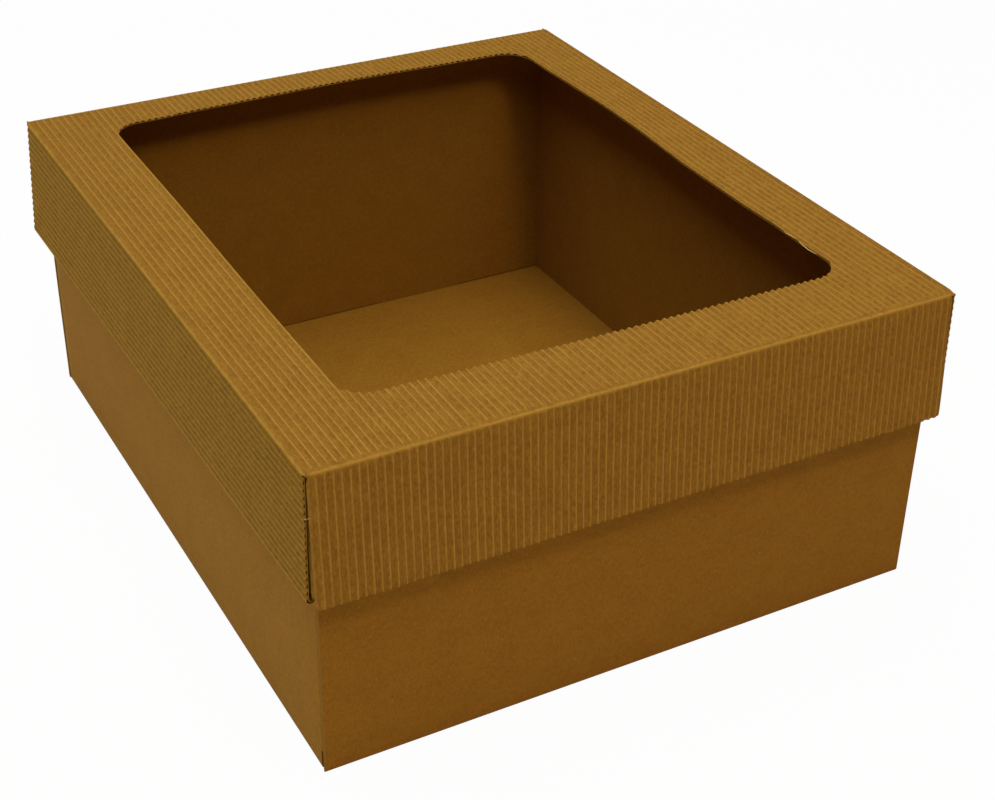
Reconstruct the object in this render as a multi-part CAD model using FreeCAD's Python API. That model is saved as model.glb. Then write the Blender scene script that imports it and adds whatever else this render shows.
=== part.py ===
import FreeCAD, Part
import math
import os
from FreeCAD import Placement, Rotation, Vector

# A gift box in two pieces, each folded from one sheet of brown board: a plain tray, and a
# lift-off lid of open-face fluted board with a round-cornered window.
# Millimetres. The origin is on the floor under the middle of the lid. +Z is up, the short
# front wall faces -Y, and the lid's flutes run from front to back.

# The lid over its crests, and the height of the closed box
lid_width = 300.0
lid_depth = 354.0
lid_skirt = 60.0
box_height = 149.0

# Open-face board: a flat liner with one fluted paper glued to it
liner_paper = 0.25
flute_paper = 0.25
flute_rise = 1.15
flute_pitch = 3.39
crest_share = 0.42
channel_share = 0.72

# The window in the lid, from the lid's four edges
window_left = 35.5
window_right = 30.0
window_front = 39.0
window_back = 27.0
window_radius = 11.0

# Creases across the flutes, where the board is crushed flat to its two papers
crease_radius = 0.4
crushed_top = 1.0
crushed_skirt = 0.8
crush_ramp = 1.8

# The front and back skirts stand off the tray at the bottom
skirt_splay = 3.3

# Corner tabs and layers of the double walls
layer_gap = 0.1
tab_length = 45.0
corner_relief = 0.5
tab_shoulder = 3.0
tab_taper = 5.0
top_gap = 0.4

# The tray is folded from plain double-faced board
tray_board = 1.6
tray_side_clearance = 0.4
tray_end_clearance = 3.1
lid_seat_gap = 0.2
rim_drop = 0.6
lock_width = 50.0
lock_spacing = 130.0
lock_recess = 0.2
lock_clearance = 0.3
foot_gap = 0.6

lid_board = liner_paper + flute_rise
crushed_board = liner_paper + flute_paper
lid_wall = 3 * lid_board + 2 * layer_gap
tray_wall = 3 * tray_board + 2 * layer_gap
half_width = lid_width / 2
half_depth = lid_depth / 2
lid_underside = box_height - lid_board
skirt_foot = box_height - lid_skirt

tray_half_width = half_width - lid_wall - tray_side_clearance
tray_half_depth = half_depth - lid_board - tray_end_clearance
tray_height = lid_underside - lid_seat_gap

X_AXIS = Vector(1, 0, 0)
Y_AXIS = Vector(0, 1, 0)
Z_AXIS = Vector(0, 0, 1)


def closed_wire(points, to_3d):
    """A closed outline. A point given as a triple (a, b, "arc") is the middle of an arc."""
    edges = []
    index = 0
    ring = points + [points[0]]
    while index < len(ring) - 1:
        start = to_3d(*ring[index][:2])
        if len(ring[index + 1]) == 3:
            middle = to_3d(*ring[index + 1][:2])
            end = to_3d(*ring[index + 2][:2])
            edges.append(Part.Arc(start, middle, end).toShape())
            index += 2
        else:
            edges.append(Part.LineSegment(start, to_3d(*ring[index + 1])).toShape())
            index += 1
    return Part.Wire(edges)


def at_x(x):
    return lambda y, z: Vector(x, y, z)


def at_y(y):
    return lambda x, z: Vector(x, y, z)


def at_z(z):
    return lambda x, y: Vector(x, y, z)


def prism(points, to_3d, direction):
    return Part.Face(closed_wire(points, to_3d)).extrude(direction)


def block(x, y, z):
    low = Vector(x[0], y[0], z[0])
    return Part.makeBox(x[1] - x[0], y[1] - y[0], z[1] - z[0], low)


def arc_middle(centre, radius, degrees):
    angle = math.radians(degrees)
    return (centre[0] + radius * math.cos(angle), centre[1] + radius * math.sin(angle), "arc")


def on_arc(centre, radius, degrees):
    return arc_middle(centre, radius, degrees)[:2]


def mirrored(shape, normal):
    return shape.mirror(Vector(0, 0, 0), normal)


def fluted_board(width, run, hollow):
    """Flat board with its flutes up: across is +X, along the flutes is +Y, the liner is at z = 0.

    It starts and ends on a crest, so that its edges meet a fold at full thickness.
    """
    count = max(1, round(width / flute_pitch))
    pitch = width / count
    crest = crest_share * pitch
    outline = [(0, 0), (width, 0), (width, lid_board)]
    for flute in range(count, 0, -1):
        right = flute * pitch
        outline.append((right - crest / 2, lid_board))
        outline.append((right - pitch / 2, crushed_board))
        outline.append((right - pitch + crest / 2, lid_board))
    outline.append((0, lid_board))
    wires = [closed_wire(outline, at_y(0))]
    if hollow:
        foot = channel_share * pitch / 2
        roof = crest / 2 - flute_paper / 2
        for flute in range(1, count):
            middle = flute * pitch
            channel = [
                (middle - foot, liner_paper), (middle + foot, liner_paper),
                (middle + roof, lid_board - flute_paper), (middle - roof, lid_board - flute_paper),
            ]
            wires.append(closed_wire(channel, at_y(0)))
    face = Part.makeFace(wires, "Part::FaceMakerBullseye")
    return face.extrude(Vector(0, run, 0))


def pressed_end(width):
    """The end of a board beside a crease across its flutes: they rise from y = 0 to full height."""
    board = fluted_board(width, crush_ramp, False)
    press = [(0, crushed_board), (crush_ramp, lid_board), (0, lid_board)]
    return board.cut(prism(press, at_x(0), Vector(width, 0, 0)))


def lid_top():
    """The fluted top panel, crushed at its front and back edges, with the window cut out."""
    fold = half_width - lid_board
    end = half_depth - lid_board - crease_radius - crushed_top
    panel = fluted_board(2 * fold, 2 * (end - crush_ramp), True)
    panel.translate(Vector(-fold, crush_ramp - end, lid_underside))
    front = pressed_end(2 * fold)
    front.translate(Vector(-fold, -end, lid_underside))
    return [panel.cut(window_cutter()), front, mirrored(front, Y_AXIS)]


def window_cutter():
    low = lid_underside - 1
    left = -half_width + window_left
    right = half_width - window_right
    front = -half_depth + window_front
    back = half_depth - window_back
    slab = block((left, right), (front, back), (low, box_height + 1))
    uprights = [edge for edge in slab.Edges if edge.BoundBox.ZLength > 1]
    return slab.makeFillet(window_radius, uprights)


def lid_outer_side():
    """Left wall, outer layer: the long fold along a flute, the panel, half the lower roll."""
    fold_centre = (-half_width + lid_board, lid_underside)
    fold = prism(
        [fold_centre, on_arc(fold_centre, lid_board, 90), arc_middle(fold_centre, lid_board, 135),
         on_arc(fold_centre, lid_board, 180)],
        at_y(-half_depth), Vector(0, lid_depth, 0))
    roll_radius = lid_wall / 2
    roll_z = skirt_foot + roll_radius
    panel = fluted_board(lid_underside - roll_z, lid_depth, True)
    panel.Placement = Placement(
        Vector(-half_width + lid_board, -half_depth, roll_z), Rotation(Y_AXIS, -90))
    roll = roll_quarter(180, 225, 270)
    roll = prism(roll, at_y(-half_depth), Vector(0, lid_depth, 0))
    return [fold, panel, roll]


def roll_quarter(start, middle, end):
    """A quarter of the ring round which a double wall's board turns, in the x-z plane."""
    outer = lid_wall / 2
    inner = outer - lid_board
    centre = (-half_width + outer, skirt_foot + outer)
    return [
        on_arc(centre, outer, start), arc_middle(centre, outer, middle), on_arc(centre, outer, end),
        on_arc(centre, inner, end), arc_middle(centre, inner, middle), on_arc(centre, inner, start),
    ]


def lid_inner_side():
    """Left wall, inner layer: it turns up inside and stops just under the top."""
    half_length = half_depth - lid_board - top_gap
    roll_z = skirt_foot + lid_wall / 2
    height = lid_underside - top_gap - roll_z
    panel = fluted_board(height, 2 * half_length, False)
    panel.Placement = Placement(
        Vector(-half_width + lid_wall - lid_board, -half_length, roll_z + height),
        Rotation(Y_AXIS, 90))
    roll = prism(roll_quarter(270, 315, 360), at_y(-half_length), Vector(0, 2 * half_length, 0))
    return [panel, roll]


def lid_front_crease():
    """The crushed strip round the front edge, as far as it lies flat on the top and bends."""
    width = half_width - lid_board - layer_gap
    outer = crease_radius + crushed_board
    centre = (-half_depth + lid_board + crease_radius, lid_underside - crease_radius)
    inner_end = centre[0] + crushed_top
    stop = 180 - skirt_splay
    middle = (90 + stop) / 2
    outline = [
        (inner_end, lid_underside), (inner_end, lid_underside + crushed_board),
        on_arc(centre, outer, 90), arc_middle(centre, outer, middle), on_arc(centre, outer, stop),
        on_arc(centre, crease_radius, stop), arc_middle(centre, crease_radius, middle),
        on_arc(centre, crease_radius, 90),
    ]
    return [prism(outline, at_x(-width), Vector(2 * width, 0, 0))]


def lid_front_skirt():
    """The single front wall with its two corner tabs, built upright and then splayed."""
    hinge_z = lid_underside - crease_radius
    inside = -half_depth + lid_board
    edge = half_width - lid_board - layer_gap
    fold = edge - lid_board
    length = hinge_z - crushed_skirt - skirt_foot
    panel = fluted_board(2 * fold, length - crush_ramp, False)
    panel.Placement = Placement(Vector(-fold, inside, skirt_foot), Rotation(X_AXIS, 90))
    pressed = pressed_end(2 * fold)
    pressed.rotate(Vector(fold, crush_ramp / 2, 0), Z_AXIS, 180)
    pressed.Placement = Placement(
        Vector(-fold, inside, skirt_foot + length - crush_ramp), Rotation(X_AXIS, 90)
    ).multiply(pressed.Placement)
    strip = block((-edge, edge), (inside - crushed_board, inside), (hinge_z - crushed_skirt, hinge_z))
    pieces = [panel, pressed, strip]
    for side in (-1, 1):
        centre = (side * fold, inside)
        corner = [
            centre, (side * edge, inside),
            arc_middle(centre, lid_board, -90 + 45 * side), (side * fold, inside - lid_board),
        ]
        pieces.append(prism(corner, at_z(skirt_foot), Vector(0, 0, length)))
        tab = [
            (inside, skirt_foot + tab_shoulder),
            (inside + tab_length, skirt_foot + tab_shoulder + tab_taper),
            (inside + tab_length, hinge_z - tab_shoulder - tab_taper),
            (inside, hinge_z - tab_shoulder),
        ]
        pieces.append(prism(tab, at_x(side * fold), Vector(side * lid_board, 0, 0)))
    hinge = Vector(0, inside + crease_radius, hinge_z)
    for piece in pieces:
        piece.rotate(hinge, X_AXIS, -skirt_splay)
    return pieces


def make_lid():
    side = lid_outer_side() + lid_inner_side()
    end = lid_front_crease() + lid_front_skirt()
    pieces = side + [mirrored(piece, X_AXIS) for piece in side]
    pieces += end + [mirrored(piece, Y_AXIS) for piece in end]
    panel, *ends = lid_top()
    return panel.fuse(ends + pieces).removeSplitter()


def tray_end():
    """Front wall: outer layer, flat rim, and the inner layer down to the floor."""
    outer = -tray_half_depth
    inner = outer + tray_wall
    base_fold = (outer + tray_board, tray_board)
    outer_top = (outer + tray_board, tray_height - tray_board)
    inner_top = (inner - tray_board, tray_height - tray_board)
    middle = (outer + inner) / 2
    outside = [
        base_fold, outer_top, (middle, outer_top[1]), (middle, tray_height),
        on_arc(outer_top, tray_board, 90), arc_middle(outer_top, tray_board, 135),
        on_arc(outer_top, tray_board, 180), on_arc(base_fold, tray_board, 180),
        arc_middle(base_fold, tray_board, 225), on_arc(base_fold, tray_board, 270),
    ]
    foot = tray_board + foot_gap
    inside = [
        (middle, tray_height), (middle, inner_top[1]), inner_top,
        (inner_top[0], foot), (inner, foot),
        on_arc(inner_top, tray_board, 0), arc_middle(inner_top, tray_board, 45),
        on_arc(inner_top, tray_board, 90),
    ]
    inner_half = tray_half_width - tray_board - layer_gap
    pieces = [
        prism(outside, at_x(-tray_half_width), Vector(2 * tray_half_width, 0, 0)),
        prism(inside, at_x(-inner_half), Vector(2 * inner_half, 0, 0)),
    ]
    for place in (-1, 1):
        x = place * lock_spacing / 2
        pieces.append(block(
            (x - lock_width / 2, x + lock_width / 2), (inner_top[0], inner),
            (lock_recess, foot)))
    return pieces


def tray_side():
    """The single left wall, its fold from the base and its two corner tabs."""
    inside = -tray_half_width + tray_board
    edge = tray_half_depth - tray_board - layer_gap
    fold = edge - tray_board
    rim = tray_height - rim_drop
    base_fold = (inside, tray_board)
    profile = [
        base_fold, (inside, rim), (inside - tray_board, rim), on_arc(base_fold, tray_board, 180),
        arc_middle(base_fold, tray_board, 225), on_arc(base_fold, tray_board, 270),
    ]
    pieces = [prism(profile, at_y(-fold), Vector(0, 2 * fold, 0))]
    for end in (-1, 1):
        centre = (inside, end * fold)
        corner = [
            centre, (inside, end * edge),
            arc_middle(centre, tray_board, 180 - 45 * end), (inside - tray_board, end * fold),
        ]
        foot = tray_board + corner_relief
        pieces.append(prism(corner, at_z(foot), Vector(0, 0, rim - foot)))
        low = tray_board + tab_shoulder
        high = tray_height - tray_board - tab_shoulder
        tab = [
            (inside, low), (inside + tab_length, low + tab_taper),
            (inside + tab_length, high - tab_taper), (inside, high),
        ]
        pieces.append(prism(tab, at_y(end * fold), Vector(0, end * tray_board, 0)))
    return pieces


def tray_base():
    """The bottom panel, with a slot for each of the inner walls' four lock tabs."""
    half_x = tray_half_width - tray_board
    half_y = tray_half_depth - tray_board
    base = block((-half_x, half_x), (-half_y, half_y), (0, tray_board))
    slot_outer = tray_half_depth - tray_wall + tray_board + lock_clearance
    slot_inner = tray_half_depth - tray_wall - lock_clearance
    slot_half = lock_width / 2 + lock_clearance
    for end in (-1, 1):
        for place in (-1, 1):
            y = sorted((end * slot_inner, end * slot_outer))
            x = place * lock_spacing / 2
            base = base.cut(block((x - slot_half, x + slot_half), y, (-1, tray_board + 1)))
    return base


def make_tray():
    side = tray_side()
    end = tray_end()
    pieces = side + [mirrored(piece, X_AXIS) for piece in side]
    pieces += end + [mirrored(piece, Y_AXIS) for piece in end]
    return tray_base().fuse(pieces).removeSplitter()


def save(shape, name):
    if len(shape.Solids) != 1 or not shape.isValid():
        raise ValueError("%s is not one valid solid (%d)" % (name, len(shape.Solids)))
    solid = shape.Solids[0]
    solid.exportStep("parts/%s.step" % name)
    box = solid.BoundBox
    print("%-5s %8.0f mm3  x %.2f..%.2f  y %.2f..%.2f  z %.2f..%.2f" % (
        name, solid.Volume, box.XMin, box.XMax, box.YMin, box.YMax, box.ZMin, box.ZMax))


os.makedirs("parts", exist_ok=True)
save(make_tray(), "tray")
save(make_lid(), "lid")
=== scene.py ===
import math
import bmesh
import bpy
from mathutils import Matrix, Vector, noise


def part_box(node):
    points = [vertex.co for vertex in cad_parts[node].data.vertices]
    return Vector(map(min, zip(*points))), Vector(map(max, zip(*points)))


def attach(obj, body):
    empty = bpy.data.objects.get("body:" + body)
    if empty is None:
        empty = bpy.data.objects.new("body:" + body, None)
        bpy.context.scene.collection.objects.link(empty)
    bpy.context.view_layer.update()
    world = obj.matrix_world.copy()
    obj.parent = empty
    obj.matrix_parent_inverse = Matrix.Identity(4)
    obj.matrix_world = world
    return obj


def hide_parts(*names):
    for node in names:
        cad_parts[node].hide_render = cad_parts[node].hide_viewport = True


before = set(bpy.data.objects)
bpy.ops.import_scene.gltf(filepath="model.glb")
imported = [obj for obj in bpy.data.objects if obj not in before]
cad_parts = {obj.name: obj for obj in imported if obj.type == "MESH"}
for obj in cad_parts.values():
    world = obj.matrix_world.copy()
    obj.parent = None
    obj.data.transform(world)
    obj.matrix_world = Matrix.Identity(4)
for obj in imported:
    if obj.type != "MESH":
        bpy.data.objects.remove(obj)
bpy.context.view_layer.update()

# The tray: one sheet of plain brown double-faced board, folded up.
# The short end walls are double and roll over a flat rim, and the single side walls are held by
# corner tabs tucked between the two layers of the ends.
mm = 0.001
tray_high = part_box("tray")[1] / mm
board = 1.6
end_wall = 5.0
rim_drop = 0.6
foot_gap = 0.6
slip = 0.1
lock_width = 50.0
lock_spacing = 130.0
lock_clearance = 0.3
lock_recess = 0.2
tab_length = 45.0
tab_shoulder = 3.0
tab_taper = 5.0
corner_relief = 0.5
board_pitch = 3.4
wall_swing = 0.35
swing_size = 80
end_reach = 6
cut_angle = 62


class Tone:
    """A socket of a material, with sums and products that add the nodes for them."""

    def __init__(self, finish, socket):
        self.finish = finish
        self.socket = socket

    def reckon(self, operation, first, second):
        return self.finish.node("ShaderNodeMath", {"operation": operation}, {0: first, 1: second})

    def __add__(self, other):
        return self.reckon("ADD", self, other)

    def __sub__(self, other):
        return self.reckon("SUBTRACT", self, other)

    def __mul__(self, other):
        return self.reckon("MULTIPLY", self, other)

    __radd__ = __add__
    __rmul__ = __mul__


class Finish:
    """A material in the making."""

    def __init__(self, name):
        self.material = bpy.data.materials.new(name)
        self.material.use_nodes = True
        self.tree = self.material.node_tree
        self.shader = self.tree.nodes["Principled BSDF"]
        self.output = self.tree.nodes["Material Output"]

    def feed(self, socket, value):
        if isinstance(value, Tone):
            self.tree.links.new(value.socket, socket)
        else:
            socket.default_value = value

    def node(self, kind, settings=None, values=None, output=0):
        """Adds one node: its settings first, then the values or links of its sockets."""
        made = self.tree.nodes.new(kind)
        for name, value in (settings or {}).items():
            setattr(made, name, value)
        for name, value in (values or {}).items():
            self.feed(made.inputs[name], value)
        return Tone(self, made.outputs[output])

    def set(self, **values):
        for name, value in values.items():
            self.feed(self.shader.inputs[name.replace("_", " ")], value)
        return self.material

    def blend(self, share, first, second):
        """A colour between two."""
        return self.node("ShaderNodeMix", {"data_type": "RGBA"}, {0: share, 6: first, 7: second}, 2)

    def speckle(self, spot, stretch, detail, rough):
        """Fractal noise between 0 and 1, at so many grains a metre along each direction."""
        scaled = self.node("ShaderNodeVectorMath", {"operation": "MULTIPLY"}, {0: spot, 1: stretch})
        settings = {"noise_dimensions": "3D"}
        values = {"Vector": scaled, "Scale": 1.0, "Detail": detail, "Roughness": rough}
        return self.node("ShaderNodeTexNoise", settings, values)

    def between(self, value, low, high):
        """0 at low, 1 at high, and an even swing between."""
        settings = {"interpolation_type": "SMOOTHSTEP"}
        return self.node("ShaderNodeMapRange", settings, {0: value, 1: low, 2: high})


def kraft(name, paper, shade, pale, along=(1500, 600, 1100), fluted=0.0, ridges=0.0):
    """Brown kraft paper: pulp clouds, fibres, flecks, pale rubbed places that along creases and folds are
    partly a painted highlight, crests of fluted paper painted paler, partly as a highlight, and a matt,
    fibrous face.
    """
    finish = Finish(name)
    spot = finish.node("ShaderNodeAttribute", {"attribute_name": "blank"}, None, 1)
    rub_and_highlight = finish.node("ShaderNodeAttribute", {"attribute_name": "rub_with_highlight"}, None, 2)
    clouds = finish.speckle(spot, (70, 70, 70), 3.0, 0.6)
    mottle = finish.speckle(spot, (420, 300, 300), 3.0, 0.65)
    fibres = finish.speckle(spot, along, 4.0, 0.6)
    flecks = finish.speckle(spot, (900, 500, 900), 1.0, 0.4)
    tone = clouds * 0.2 + mottle * 0.35 + fibres * 0.65 - 0.1
    colour = finish.blend(finish.between(tone, 0.33, 0.67), shade, paper)
    colour = finish.blend(finish.between(flecks, 0.66, 0.78) * 0.35, colour, pale)
    colour = finish.blend(finish.between(flecks, 0.34, 0.24) * 0.4, colour, shade)
    grain = fibres * 0.5 + mottle * 0.5
    # On fluted paper the crests are painted paler: partly dust and scuffing, partly a painted highlight
    # where light catches them.
    if fluted:
        crest = finish.node("ShaderNodeSeparateXYZ", None, {0: spot}, 2) * (1 / mm)
        crest_dust_and_highlight = finish.between(crest, 0.78, 1.0) * fluted
        colour = finish.blend(crest_dust_and_highlight * (0.65 + 0.5 * fibres), colour, pale)
    if ridges:
        across = finish.node("ShaderNodeSeparateXYZ", None, {0: spot}, 0)
        angle = across * (2 * math.pi / (board_pitch * mm))
        grain = grain + finish.node("ShaderNodeMath", {"operation": "SINE"}, {0: angle}) * ridges
    # Rubbed places are painted paler; along the lid's creases and folds this is partly rubbing and partly
    # a painted highlight.
    colour = finish.blend(rub_and_highlight * (0.45 + 0.6 * mottle), colour, pale)
    bump = finish.node("ShaderNodeBump", None, {"Strength": 0.35, "Distance": 0.0004, "Height": grain})
    return finish.set(Base_Color=colour, Roughness=0.86, Specular_IOR_Level=0.12, Normal=bump)


class Route:
    """The section of a folded sheet: runs and bends of its inner face, with its outside on the left."""

    def __init__(self, start, heading, neutral):
        self.spot = Vector(start)
        self.heading = math.radians(heading)
        self.neutral = neutral
        self.length = 0.0
        self.parts = []

    def run(self, length):
        self.parts.append((self.length, self.spot.copy(), self.heading, 0, 0, length))
        self.spot += length * Vector((math.cos(self.heading), math.sin(self.heading)))
        self.length += length
        return self

    def bend(self, radius, degrees):
        turn = math.radians(degrees)
        length = (radius + self.neutral) * turn
        self.parts.append((self.length, self.spot.copy(), self.heading, radius, turn, length))
        centre = self.spot - radius * outward(self.heading)
        self.heading -= turn
        self.spot = centre + radius * outward(self.heading)
        self.length += length
        return self

    def place(self, distance, height):
        """The point at that distance along the sheet, and that height above its inner face."""
        chosen = self.parts[0]
        for part in self.parts:
            if part[0] <= distance + 1e-9:
                chosen = part
        start, spot, heading, radius, turn, length = chosen
        on = distance - start
        if not turn:
            ahead = Vector((math.cos(heading), math.sin(heading)))
            return spot + on * ahead + height * outward(heading)
        now = heading - turn * on / length
        return spot - radius * outward(heading) + (radius + height) * outward(now)

    def steps(self, step, bend_steps=4):
        """Distances along the sheet that follow its runs coarsely and its bends finely."""
        values = [0.0]
        for start, spot, heading, radius, turn, length in self.parts:
            values += spread(start, start + length, length / bend_steps if turn else step)
        return in_order(values)


def outward(heading):
    return Vector((-math.sin(heading), math.cos(heading)))


def spread(start, end, step):
    """Evenly spaced values from start to end, about a step apart."""
    count = max(1, round(abs(end - start) / step))
    return [start + (end - start) * i / count for i in range(count + 1)]


def in_order(*groups):
    """All the values of the groups, sorted, without repeats."""
    values = []
    for value in sorted(v for group in groups for v in group):
        if not values or value - values[-1] > 0.004:
            values.append(value)
    return values


def both_ways(values):
    return in_order(values, [-value for value in values])


def smooth(value, low, high):
    """0 up to low, 1 from high on, and an even swing between."""
    part = min(1.0, max(0.0, (value - low) / (high - low)))
    return part * part * (3 - 2 * part)


def ripple(x, y, z, size):
    """A slow unevenness between about -1 and 1, the same on every run."""
    return noise.noise(Vector((x, y, z)) / size)


def new_sheet():
    mesh = bmesh.new()
    mesh.verts.layers.float_vector.new("blank")
    # How rubbed each point is; along the lid's creases and folds this also paints a highlight.
    mesh.verts.layers.float.new("rub_with_highlight")
    return mesh


def lay_patch(mesh, columns, rows, shape, keep=None):
    """One panel of the sheet: a grid whose points go where shape(across, along) says.

    shape gives the place, the point's mark on the flat blank, and how rubbed it is, which on the lid's
    creases and folds also paints a highlight.
    """
    blank = mesh.verts.layers.float_vector["blank"]
    rub_with_highlight = mesh.verts.layers.float["rub_with_highlight"]
    wide = len(columns)
    made = bmesh.ops.create_grid(mesh, x_segments=wide - 1, y_segments=len(rows) - 1, size=1)
    for count, vertex in enumerate(made["verts"]):
        place, mark, rub_and_highlight_value = shape(columns[count % wide], rows[count // wide])
        vertex.co = Vector(place) * mm
        vertex[blank] = Vector(mark) * mm
        vertex[rub_with_highlight] = rub_and_highlight_value
    if keep:
        faces = {face for vertex in made["verts"] for face in vertex.link_faces}
        spare = []
        for face in faces:
            middle = sum((vertex[blank] for vertex in face.verts), Vector()) / len(face.verts) / mm
            if not keep(middle.x, middle.y):
                spare.append(face)
        bmesh.ops.delete(mesh, geom=spare, context="FACES")


def finish_sheet(mesh, name, thickness, materials):
    """Joins the panels where they meet, gives the sheet its thickness, and keeps its cut edges sharp."""
    bmesh.ops.remove_doubles(mesh, verts=mesh.verts, dist=0.003 * mm)
    bmesh.ops.recalc_face_normals(mesh, faces=mesh.faces)
    flat = bpy.data.meshes.new(name)
    mesh.to_mesh(flat)
    mesh.free()
    for material in materials:
        flat.materials.append(material)
    blank = bpy.data.objects.new(name, flat)
    bpy.context.scene.collection.objects.link(blank)
    solid = blank.modifiers.new("thickness", "SOLIDIFY")
    solid.thickness = thickness * mm
    solid.offset = 0
    solid.material_offset_rim = len(materials) - 1
    data = bpy.data.meshes.new_from_object(blank.evaluated_get(bpy.context.evaluated_depsgraph_get()))
    bpy.data.objects.remove(blank)
    data.name = name
    data.shade_smooth()
    data.set_sharp_from_angle(angle=math.radians(cut_angle))
    piece = bpy.data.objects.new(name, data)
    bpy.context.scene.collection.objects.link(piece)
    return piece


base_x = tray_high.x - board
base_y = tray_high.y - board
tray_rim = tray_high.z - rim_drop
side_fold = base_y - slip - board
inner_end = base_x - slip
half_board = board / 2

end_route = Route((tray_high.y - end_wall + board, board + foot_gap), 90, half_board)
end_route.run(tray_high.z - 2 * board - foot_gap).bend(0, 90).run(end_wall - 2 * board).bend(0, 90)
end_route.run(tray_high.z - 2 * board).bend(0, 90)
side_route = Route((base_x, tray_rim), -90, half_board).run(tray_rim - board).bend(0, 90)
corner_route = Route((base_x - tab_length, side_fold), 0, half_board).run(tab_length).bend(0, 90)
over_rim = tray_high.z - 2 * board - foot_gap + half_board * math.pi / 2 + end_wall / 2 - board


def tray_wave(place):
    """The tray's walls are not quite flat between their folds."""
    x, y, z = place
    up = math.sin(math.pi * min(1.0, max(0.0, z / tray_high.z)))
    out = wall_swing * up * ripple(x, y, z, swing_size)
    if abs(x) > inner_end:
        return Vector((x + out, y, z))
    if abs(y) > side_fold - end_reach:
        return Vector((x, y + out, z))
    return Vector(place)


def base_panel(x, y):
    return (x, y, half_board), (x, y, 0), 0


def off_the_slots(x, y):
    from_lock = abs(abs(x) - lock_spacing / 2)
    slot_middle = tray_high.y - end_wall + half_board
    in_slot = abs(abs(y) - slot_middle) < half_board + lock_clearance
    return not (in_slot and from_lock < lock_width / 2 + lock_clearance)


def tray_end(end):
    def shape(x, distance):
        u, v = end_route.place(distance, half_board)
        width = inner_end if distance < over_rim else tray_high.x
        x = x * width / tray_high.x
        mark = (x, end * (base_y + end_route.length - distance), 0)
        return tray_wave((x, end * u, v)), mark, 0
    return shape


def tray_side(side):
    def shape(y, distance):
        u, v = side_route.place(distance, half_board)
        return tray_wave((side * u, y, v)), (side * (base_x + side_route.length - distance), y, 0), 0
    return shape


def tray_corner(side, end):
    def shape(distance, z):
        u, v = corner_route.place(distance, half_board)
        on_tab = smooth(tab_length - distance, 0, 1)
        taper = tab_shoulder + tab_taper * (1 - min(1, distance / tab_length))
        share = (z - board) / (tray_rim - board)
        z += on_tab * taper * (1 - 2 * share)
        mark = (side * (base_x + z), end * (side_fold + corner_route.length - distance), 0)
        return tray_wave((side * u, end * v, z)), mark, 0
    return shape


def tray_lock(end, middle):
    def shape(x, z):
        y = end * (tray_high.y - end_wall + half_board)
        return (middle + x, y, z), (middle + x, y + z, 0), 0
    return shape


slot_edges = [lock_spacing / 2 + side * (lock_width / 2 + lock_clearance) for side in (-1, 1)]
slot_sides = [tray_high.y - end_wall - lock_clearance, tray_high.y - end_wall + board + lock_clearance]
base_columns = both_ways(in_order(spread(0, base_x, 10), slot_edges))
end_columns = in_order(base_columns, [-tray_high.x, tray_high.x])
wall_rows = both_ways(spread(0, side_fold, 10))
base_rows = in_order(wall_rows, both_ways(slot_sides), [-base_y, base_y])
side_steps = side_route.steps(8)
wall_heights = [tray_rim - step for step in side_steps if tray_rim - step > board + corner_relief]

tray_sheet = new_sheet()
lay_patch(tray_sheet, base_columns, base_rows, base_panel, off_the_slots)
for turn in (-1, 1):
    lay_patch(tray_sheet, end_columns, end_route.steps(8), tray_end(turn))
    lay_patch(tray_sheet, wall_rows, side_steps, tray_side(turn))
    for other in (-1, 1):
        lay_patch(tray_sheet, corner_route.steps(9), sorted(wall_heights), tray_corner(turn, other))
        lock_columns = spread(-lock_width / 2, lock_width / 2, 10)
        lock_rows = [lock_recess, board + foot_gap]
        lay_patch(tray_sheet, lock_columns, lock_rows, tray_lock(turn, other * lock_spacing / 2))

plain_paper = (0.295, 0.127, 0.0105, 1)
plain_shade = (0.225, 0.089, 0.0065, 1)
pale_fibre = (0.4, 0.215, 0.035, 1)
cut_shade = (0.2, 0.09, 0.012, 1)
plain_kraft = kraft("plain kraft", plain_paper, plain_shade, pale_fibre, ridges=0.07)
plain_edge = kraft("cut board", plain_shade, cut_shade, pale_fibre)
tray_piece = finish_sheet(tray_sheet, "folded_tray", board, [plain_kraft, plain_edge])
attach(tray_piece, "tray")
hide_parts("tray")

# The lid's fluted paper: the outer of the two papers of open-face board, glued to the liner by the
# foot of each flute. The flutes run from front to back and down the end skirts, where the creases
# press them flat. The long side walls roll over at the bottom and come up inside.
lid_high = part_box("lid")[1] / mm
lid_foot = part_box("lid")[0].z / mm
lid_half_x = lid_high.x
lid_half_y = 177.0
liner = 0.25
paper = 0.2
flute_rise = 1.15
lid_board = liner + flute_rise
lid_wall = 3 * lid_board + 2 * slip
top_gap = 0.4
crease_radius = 0.15
crushed_skirt = 0.1
front_splay = 3.6
back_splay = 4.4
flutes_across = 88
flutes_down = 17
samples = 6
window_left = -114.5
window_right = 118.6
window_front = -138.0
window_back = 151.0
window_radius = 13.5
past_corner = 5.0
left_set_back = 2.2
right_set_back = 0.9
ragged_foot = 0.45
# How the flutes are pressed, crushed and worn, and how pale their creases and folds are painted, partly as
# rubbing and partly as a highlight.
pressed_level = 0.2
side_relief = 0.85
narrow_crest = 1.4
firm_crush = 0.1
cut_crush = 0.65
crush_reach = 3.0
fold_dip = 0.35
fold_shown = 0.6
fold_highlight_rub = 0.7
flute_stray = 0.05
flute_sag = 0.1
crushed_top = 0.1
crease_reach = 0.3
crease_stray = 0.35
crease_highlight_rub = 0.75
valley_lag = 0.6
top_arch = 1.5
skirt_arch = 1.1
foot_crumple = 0.5
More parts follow.
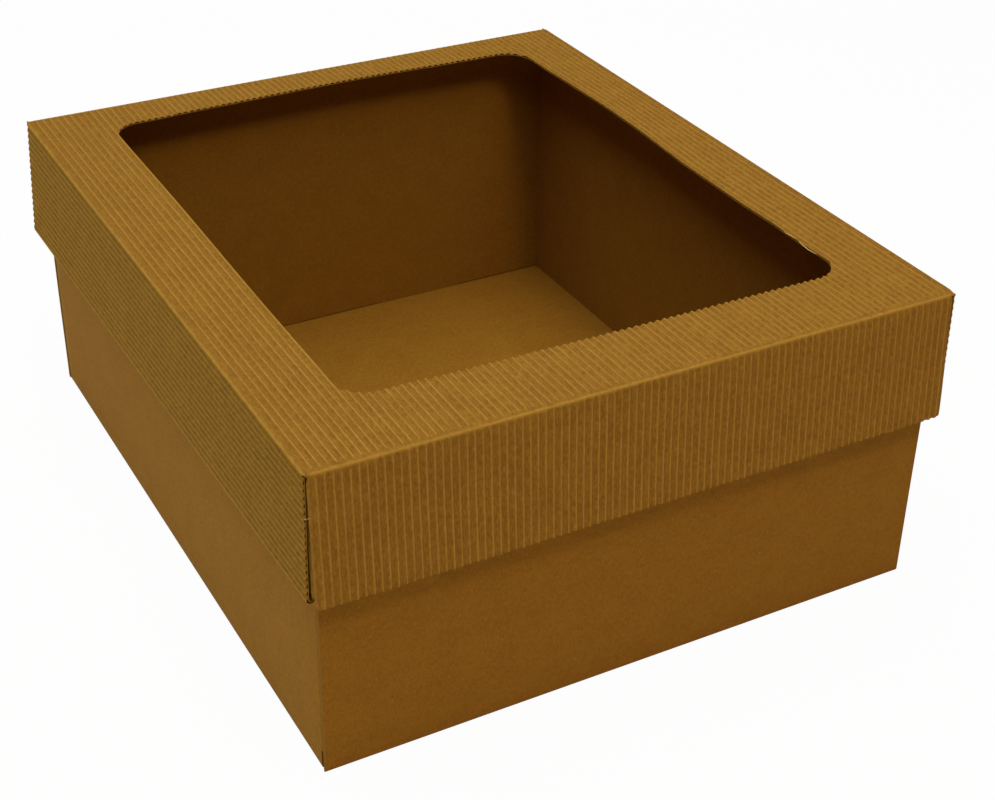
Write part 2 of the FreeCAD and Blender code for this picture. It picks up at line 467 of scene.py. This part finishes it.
# How far the top lifts and drifts round its window, and how far the skirts belly and lean.
back_lift = 1.5
right_lift = 0.9
right_sag = 0.5
front_sag = 0.5
left_roll = 0.35
right_drift = 1.7
right_waver = 0.45
left_drift = 0.9
front_drift = 1.2
skirt_belly = 0.5
left_lean = 0.8
left_lean_gain = 2.7
right_lean = 1.7
right_lean_gain = 1.0

side_line = lid_half_x - lid_board
lid_under = lid_high.z - lid_board
fold_neutral = lid_board / 2
pitch = 2 * side_line / flutes_across
roll_z = lid_foot + lid_wall / 2
panel_height = lid_under - roll_z

lid_side = Route((0, lid_under), 0, fold_neutral).run(side_line).bend(0, 90).run(panel_height)
lid_side.bend(lid_wall / 2 - lid_board, 180).run(panel_height - top_gap)
outer_start = lid_side.parts[2][0]
roll_start = lid_side.parts[3][0]
inner_start = lid_side.parts[4][0]

crease_y = lid_half_y - lid_board - crease_radius
lid_ends = {}
for turn, splay in ((-1, front_splay), (1, back_splay)):
    route = Route((0, lid_under), 0, fold_neutral).run(crease_y).bend(crease_radius, 90 - splay)
    lid_ends[turn] = route.run(lid_under - crease_radius - lid_foot)
skirt_start = lid_ends[1].parts[2][0]
skirt_corner = side_line - slip - lid_board
lid_corner = Route((0, 0), 0, fold_neutral).run(skirt_corner).bend(0, 90).run(tab_length)
corner_end = lid_corner.parts[2][0]


def wave(phase):
    return 0.5 + 0.5 * math.cos(2 * math.pi * phase)


def side_wave(far):
    """The flutes down a long side: the folds and the roll lie on a crest."""
    if far < outer_start or roll_start < far < inner_start:
        return 1.0
    start = outer_start if far <= roll_start else inner_start
    length = panel_height if far <= roll_start else panel_height - top_gap
    return wave((far - start) / length * flutes_down) ** narrow_crest


def side_flute(far, crushed):
    """The same three as flute gives, on a long side, whose fold dips and is painted paler along its
    middle, partly as rubbing and partly as a painted highlight.
    """
    high = side_wave(far)
    on_fold = far < outer_start or roll_start < far < inner_start
    bent = min(1.0, (far - side_line) / (outer_start - side_line))
    arch = math.sin(math.pi * bent)
    relief = side_relief + (1 - side_relief) * (1 - smooth(far, side_line, outer_start + 2))
    relief -= fold_dip * arch
    crest_highlight_and_dust = fold_shown if on_fold else high
    # The fold's middle is painted paler, partly as rubbing and partly as a painted highlight.
    return high * crushed * relief, crest_highlight_and_dust, fold_highlight_rub * max(0.0, arch) ** 3


def flute(across, along, on_skirt):
    """How high the fluted paper stands there, 0 to 1, how much its crest is painted paler, partly dust and
    partly a painted highlight, and its rubbing together with the painted highlight along the crease.
    """
    far = abs(across)
    crush = firm_crush if across < 0 and along < 0 else cut_crush
    crushed = 1 - crush * smooth(abs(along), crease_y - crush_reach, crease_y)
    if far > side_line and not on_skirt:
        return side_flute(far, crushed)
    from_side = side_line - far
    shift = flute_stray * ripple(across * 1.7, along * 0.25, 3, 12) * smooth(from_side, 0, 8)
    raw = wave(across / pitch + shift)
    raw *= 1 - flute_sag * abs(ripple(across, along * 0.3, 9, 7)) * smooth(from_side, 0, 4)
    end = -1 if along < 0 else 1
    if abs(along) < crease_y + crease_reach:
        off = crease_y + crushed_top - abs(along)
    else:
        off = abs(along) - skirt_start - crushed_skirt
    off += crease_stray * ripple(across, 5 * end, 1, 5)
    lag = valley_lag * raw / pressed_level if raw < pressed_level else 0
    lift = smooth(off - lag, 0, skirt_arch if on_skirt else top_arch)
    near_side = 1 if on_skirt else smooth(from_side, 0.2, 2.6)
    high = pressed_level + (raw - pressed_level) * lift
    high = raw * crushed + (high - raw * crushed) * near_side
    foot = lid_ends[end].length - abs(along)
    crumpled = foot_crumple * smooth(foot, 2.2, 0.2) * abs(ripple(across, along, 4, 2.5))
    # The crease's edge is painted paler: partly rubbing, partly a painted highlight.
    rub_and_crease_highlight = crease_highlight_rub * (1 - smooth(off, -0.4, 0.5)) * near_side
    # How far the crest is painted paler, partly dust and partly a painted highlight.
    crest_highlight_and_dust = raw * (0.4 + 0.6 * lift) * (0.7 + 0.3 * near_side)
    return high * (1 - crumpled), crest_highlight_and_dust, rub_and_crease_highlight


def corner_cut(across):
    """How far the window's rounded corner stands in from its front or back edge."""
    inside = min(across - window_left, window_right - across)
    if inside >= window_radius:
        return 0.0
    if inside < 0:
        return window_radius * max(0.0, 1 + inside / past_corner)
    return window_radius - math.sqrt(window_radius ** 2 - (window_radius - inside) ** 2)


def window_row(across, along):
    if abs(along - window_front) < 0.01:
        return along + corner_cut(across)
    if abs(along - window_back) < 0.01:
        return along - corner_cut(across)
    return along


def off_the_window(across, along):
    inside = window_left < across < window_right
    return not (inside and window_front + corner_cut(across) < along < window_back - corner_cut(across))


def hump(value, middle, reach):
    """1 in the middle, dying away on both sides of it."""
    return math.exp(-((value - middle) / reach) ** 2)


def lid_bow(place):
    """The lid's top lifts and drifts a little round its window, and its sides lean out."""
    x, y, z = place
    lift = 0.0
    if abs(x) < side_line and abs(y) < crease_y:
        back = min(1.0, smooth(y, 105, 150) * (crease_y - y) / 25)
        right = min(1.0, (side_line - x) / 28) if x > 80 else 0
        front = min(1.0, (crease_y + y) / 38) if y < -100 else 0
        left = min(1.0, (side_line + x) / 34) if x < -80 else 0
        lift += back_lift * back * hump(x, middle=15, reach=75)
        lift += right_lift * right * hump(y, middle=70, reach=55)
        lift -= right_sag * right * hump(y, middle=-30, reach=50)
        lift -= front_sag * front * hump(x, middle=10, reach=80)
        lift += left_roll * left * math.sin(y / 30)
        x += right_drift * right * hump(y, middle=45, reach=55) + left_drift * left * y / 130
        x += right_waver * right * right * ripple(2, y, 8, 13)
        y -= front_drift * front * x / 115
    drop = max(0.0, (lid_under - z) / (lid_under - lid_foot))
    if abs(x) > skirt_corner - 5 and drop > 0:
        lean, gain = (right_lean, right_lean_gain) if x > 0 else (left_lean, left_lean_gain)
        lean += gain * (y + lid_half_y) / (2 * lid_half_y)
        x += math.copysign(lean * drop, x)
    return Vector((x, y, z + lift))


def lid_place(across, along, height):
    """Where a point of the flat blank is on the folded lid: top, creases and long sides."""
    side = math.copysign(1, across)
    if abs(across) > side_line:
        u, v = lid_side.place(abs(across), height)
        if abs(across) > inner_start:
            along *= (lid_half_y - lid_board - top_gap) / lid_half_y
        elif abs(along) > crease_y:
            set_back = left_set_back if across < 0 else right_set_back
            along -= math.copysign(set_back * smooth(abs(across), side_line, outer_start), along)
        return lid_bow((side * u, along, v))
    end = -1 if along < 0 else 1
    u, v = lid_ends[end].place(abs(along), height)
    return lid_bow((across, end * u, v))


def skirt_place(across, along, height):
    """The same on an end skirt, whose corner tabs turn in behind the long sides."""
    side = math.copysign(1, across)
    end = -1 if along < 0 else 1
    route = lid_ends[end]
    far = abs(across)
    on_tab = smooth(far, corner_end - 0.5, corner_end + 1)
    if on_tab:
        share = (abs(along) - skirt_start) / (route.length - skirt_start)
        taper = tab_shoulder + tab_taper * (far - corner_end) / tab_length
        along += end * on_tab * taper * (1 - 2 * share)
    x, out = lid_corner.place(far, height)
    u, v = route.place(abs(along), out)
    down = (abs(along) - skirt_start) / (route.length - skirt_start)
    u += skirt_belly * math.sin(math.pi * down) * ripple(across, along, 2, 60) * (1 - on_tab)
    return Vector((side * x, end * u, v))


def fluted(on_skirt=False):
    """The shape of the fluted paper, whose cut foot on an end skirt is a little ragged."""
    def shape(across, along):
        along = window_row(across, along)
        high, crest_highlight_and_dust, rub_and_crease_highlight = flute(across, along, on_skirt)
        foot = lid_ends[-1 if along < 0 else 1].length - abs(along)
        if on_skirt and foot < 0.1:
            along -= math.copysign(ragged_foot, along) * (1 + ripple(across, along, 7, 3)) * 0.5
        height = liner + paper / 2 + (flute_rise - paper) * high
        place = skirt_place if on_skirt else lid_place
        return place(across, along, height), (across, along, crest_highlight_and_dust), rub_and_crease_highlight
    return shape


def flat_liner(on_skirt=False):
    def shape(across, along):
        along = window_row(across, along)
        place = skirt_place if on_skirt else lid_place
        return place(across, along, liner / 2), (across, along, 0), 0
    return shape


def fold_lid(name, columns, side_steps, skirt_columns, tab_columns, shapes, thickness, materials):
    """The whole sheet: the top with both creases, the two long sides and the two end skirts."""
    sheet = new_sheet()
    rows = in_order(top_rows, [end * step for end in (-1, 1) for step in crease_rows])
    lay_patch(sheet, columns, rows, shapes(), off_the_window)
    side_rows = in_order([row for row in top_rows if abs(row) < crease_y], [-lid_half_y, lid_half_y])
    right = in_order([side_line], side_steps)
    lay_patch(sheet, right, side_rows, shapes())
    lay_patch(sheet, [-step for step in reversed(right)], side_rows, shapes())
    for end in (-1, 1):
        along = [end * step for step in skirt_rows[end]]
        across = in_order(skirt_columns, both_ways(tab_columns))
        lay_patch(sheet, across, sorted(along), shapes(True))
    return finish_sheet(sheet, name, thickness, materials)


flute_step = pitch / samples
flute_columns = [i * flute_step - side_line for i in range(flutes_across * samples + 1)]
# Each side of the window is cut along the sheet's nearest column.
window_left = min(flute_columns, key=lambda s: abs(s - window_left))
window_right = min(flute_columns, key=lambda s: abs(s - window_right))
pressed = crease_y - 4.5
corner_clear = window_radius + 1.5
front_rows = spread(-crease_y, -pressed, 0.75) + spread(-pressed, window_front, 11)
middle_rows = spread(window_front + corner_clear, window_back - corner_clear, 18)
back_rows = spread(window_back, pressed, 7) + spread(pressed, crease_y, 0.75)
top_rows = in_order(front_rows, middle_rows, back_rows)
crease_rows = in_order(spread(crease_y, skirt_start, (skirt_start - crease_y) / 4), [skirt_start])
skirt_rows = {}
for turn, route in lid_ends.items():
    arches = spread(skirt_start, skirt_start + crushed_skirt + 4.2, 0.7)
    feet = [route.length - 3, route.length - 1.2, route.length]
    skirt_rows[turn] = in_order(arches, spread(arches[-1], feet[0], 10), feet)

outer_steps = spread(outer_start, roll_start, panel_height / flutes_down / samples)
inner_steps = spread(inner_start, lid_side.length, panel_height / flutes_down / 4)
side_steps = in_order(lid_side.steps(500, 8), outer_steps, inner_steps)
side_steps = [step for step in side_steps if step >= side_line]
skirt_columns = [s for s in flute_columns if abs(s) <= skirt_corner]
tab_columns = in_order(spread(skirt_corner, corner_end, 0.22), spread(corner_end, lid_corner.length, 0.85))

fluted_paper = (0.3, 0.139, 0.016, 1)
fluted_shade = (0.205, 0.089, 0.009, 1)
# Pale fibre of the lid: its flecks, and its paler crests and creases, which are partly painted highlights.
crest_pale_and_highlight = (0.43, 0.23, 0.035, 1)
fluted_kraft = kraft("fluted kraft", fluted_paper, fluted_shade, crest_pale_and_highlight, (1300, 420, 1300), 0.7)
cut_paper = kraft("cut paper", (0.37, 0.2, 0.04, 1), fluted_paper, crest_pale_and_highlight)
flutes_piece = fold_lid("lid_flutes", flute_columns, side_steps, skirt_columns, tab_columns,
                        fluted, paper, [fluted_kraft, cut_paper])
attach(flutes_piece, "lid")
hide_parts("lid")

# The lid's liner: the flat inner paper of the same board, plain brown. The flutes are glued to it
# by their feet, and it is what shows from underneath.
corner_near = [s for s in flute_columns if -2 < min(s - window_left, window_right - s) < window_radius + 1]
liner_columns = in_order(spread(-side_line, side_line, 12), corner_near)
liner_steps = [step for step in lid_side.steps(14, 8) if step >= side_line]
liner_skirt = in_order([s for s in liner_columns if abs(s) < skirt_corner], [-skirt_corner, skirt_corner])
liner_tabs = in_order(spread(skirt_corner, corner_end, 0.22), spread(corner_end, lid_corner.length, 9))
liner_piece = fold_lid("lid_liner", liner_columns, liner_steps, liner_skirt, liner_tabs,
                       flat_liner, liner, [plain_kraft, cut_paper])
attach(liner_piece, "lid")
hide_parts("lid")

# Torn paper: two slivers along the window's right edge and a strand across the front left corner,
# left where the sheet was cut. They hang on by their ends.
sliver_thick = 0.12
sliver_tilt = 0.3
short_sliver = [(118.2, -96.6, 148.8), (117.7, -99.4, 149.1),
                (118.0, -102.4, 149.1), (118.5, -104.8, 148.8)]
long_sliver = [(118.4, -107.4, 148.7), (117.9, -111.0, 148.5),
               (117.6, -115.2, 148.4), (117.9, -120.6, 148.6)]
strand = [(-150.3, -176.2, 129.6), (-149.9, -177.0, 130.0),
          (-149.4, -177.8, 130.6), (-148.8, -178.6, 131.1)]


def torn(width, path):
    """The shape of a sliver, widest in its middle and a little tilted."""
    def shape(side, step):
        narrow = width * (0.5 + 0.5 * math.sin(math.pi * (step + 0.5) / len(path)))
        x, y, z = path[step]
        return (x + side * narrow, y, z + sliver_tilt * side * narrow), (x, y, z), 1.0
    return shape


sliver_sheet = new_sheet()
for width, path in ((0.32, short_sliver), (0.42, long_sliver), (0.26, strand)):
    lay_patch(sliver_sheet, [-0.5, 0.5], range(len(path)), torn(width, path))
torn_paper = kraft("torn paper", (0.45, 0.27, 0.07, 1), crest_pale_and_highlight, (0.55, 0.36, 0.12, 1))
sliver_piece = finish_sheet(sliver_sheet, "torn_slivers", sliver_thick, [torn_paper])
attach(sliver_piece, "lid")
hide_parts("lid")

# The floor is a pale sweep that shows nearly white, with only a trace of the box's soft shadow.
floor_size = 6.0
white_share = 0.97


def seen_share(finish):
    """1 for the rays that show a thing to the eye, and 0 for those that only light another."""
    rays = finish.tree.nodes.new("ShaderNodeLightPath").outputs
    seen = Tone(finish, rays["Is Camera Ray"])
    for kind in ("Is Glossy Ray", "Is Transmission Ray"):
        seen = seen.reckon("MAXIMUM", seen, Tone(finish, rays[kind]))
    return seen


sweep = bmesh.new()
bmesh.ops.create_grid(sweep, x_segments=1, y_segments=1, size=floor_size)
floor_data = bpy.data.meshes.new("floor")
sweep.to_mesh(floor_data)
sweep.free()
floor = bpy.data.objects.new("floor", floor_data)
bpy.context.scene.collection.objects.link(floor)
pale = Finish("pale floor")
pale.set(Base_Color=(0.72, 0.7, 0.66, 1), Roughness=0.9)
lit = Tone(pale, pale.shader.outputs[0])
white = pale.node("ShaderNodeEmission", None, {"Color": (1, 1, 1, 1), "Strength": 1.0})
both = pale.node("ShaderNodeMixShader", None, {0: seen_share(pale) * white_share, 1: lit, 2: white})
pale.feed(pale.output.inputs[0], both)
floor_data.materials.append(pale.material)

# Plain studio light: a small warm key above the front, a broad soft box overhead, and long low
# strips on the left and in front. The room around shows white and adds only a little light.
ambient_strength = 0.07
key_distance = 2.2
low_strip = (1.2, 0.26)


class Room(Finish):
    """The world round the box, which takes the same nodes as a material."""

    def __init__(self, world):
        world.use_nodes = True
        self.tree = world.node_tree


world = bpy.data.worlds.new("studio")
bpy.context.scene.world = world
room = Room(world)
ambient = room.tree.nodes["Background"]
room.feed(ambient.inputs["Color"], (1.0, 0.88, 1.0, 1))
room.feed(ambient.inputs["Strength"], ambient_strength)
around = Tone(room, ambient.outputs[0])
backdrop = room.node("ShaderNodeBackground", None, {"Color": (1, 1, 1, 1), "Strength": 1.0})
choice = room.node("ShaderNodeMixShader", None, {0: seen_share(room), 1: around, 2: backdrop})
room.feed(room.tree.nodes["World Output"].inputs[0], choice)


def soft_box(name, place, size, power, colour):
    """A lamp with a broad face, turned to the middle of the box."""
    lamp = bpy.data.lights.new(name, "AREA")
    lamp.shape = "RECTANGLE"
    lamp.size = size[0]
    lamp.size_y = size[1]
    lamp.energy = power
    lamp.color = colour
    holder = bpy.data.objects.new(name, lamp)
    bpy.context.scene.collection.objects.link(holder)
    holder.location = place
    holder.rotation_euler = (box_middle - Vector(place)).to_track_quat("-Z", "Y").to_euler()


box_middle = Vector((0, 0, 0.1))
key_place = box_middle + key_distance * Vector((-0.03, -0.54, 0.84))
soft_box("key", key_place, size=(0.36, 0.36), power=9.4, colour=(1.0, 0.76, 0.4))
soft_box("overhead", (-0.1, 0.0, 1.25), size=(1.8, 1.1), power=18.5, colour=(0.92, 1.0, 1.0))
soft_box("left", (-1.6, 0.1, 0.15), size=low_strip, power=7.6, colour=(0.82, 1.0, 0.7))
soft_box("front", (-0.2, -1.7, 0.15), size=low_strip, power=3.2, colour=(1.0, 0.74, 0.3))

# The camera stands where the photograph was taken from, a little rolled.
camera_data = bpy.data.cameras.new("camera")
camera = bpy.data.objects.new("camera", camera_data)
bpy.context.scene.collection.objects.link(camera)
bpy.context.scene.camera = camera
camera_data.sensor_width = 36
camera_data.lens = 64.7
camera_spot = Vector((-0.34266, -0.66696, 0.50873))
camera_aim = Vector((-0.02665, -0.09514, 0.1))
camera_roll = math.radians(0.99)
turned = (camera_aim - camera_spot).to_track_quat("-Z", "Y").to_matrix().to_4x4()
turned = turned @ Matrix.Rotation(camera_roll, 4, "Z")
camera.matrix_world = Matrix.Translation(camera_spot) @ turned

bpy.context.scene.view_settings.view_transform = "Standard"
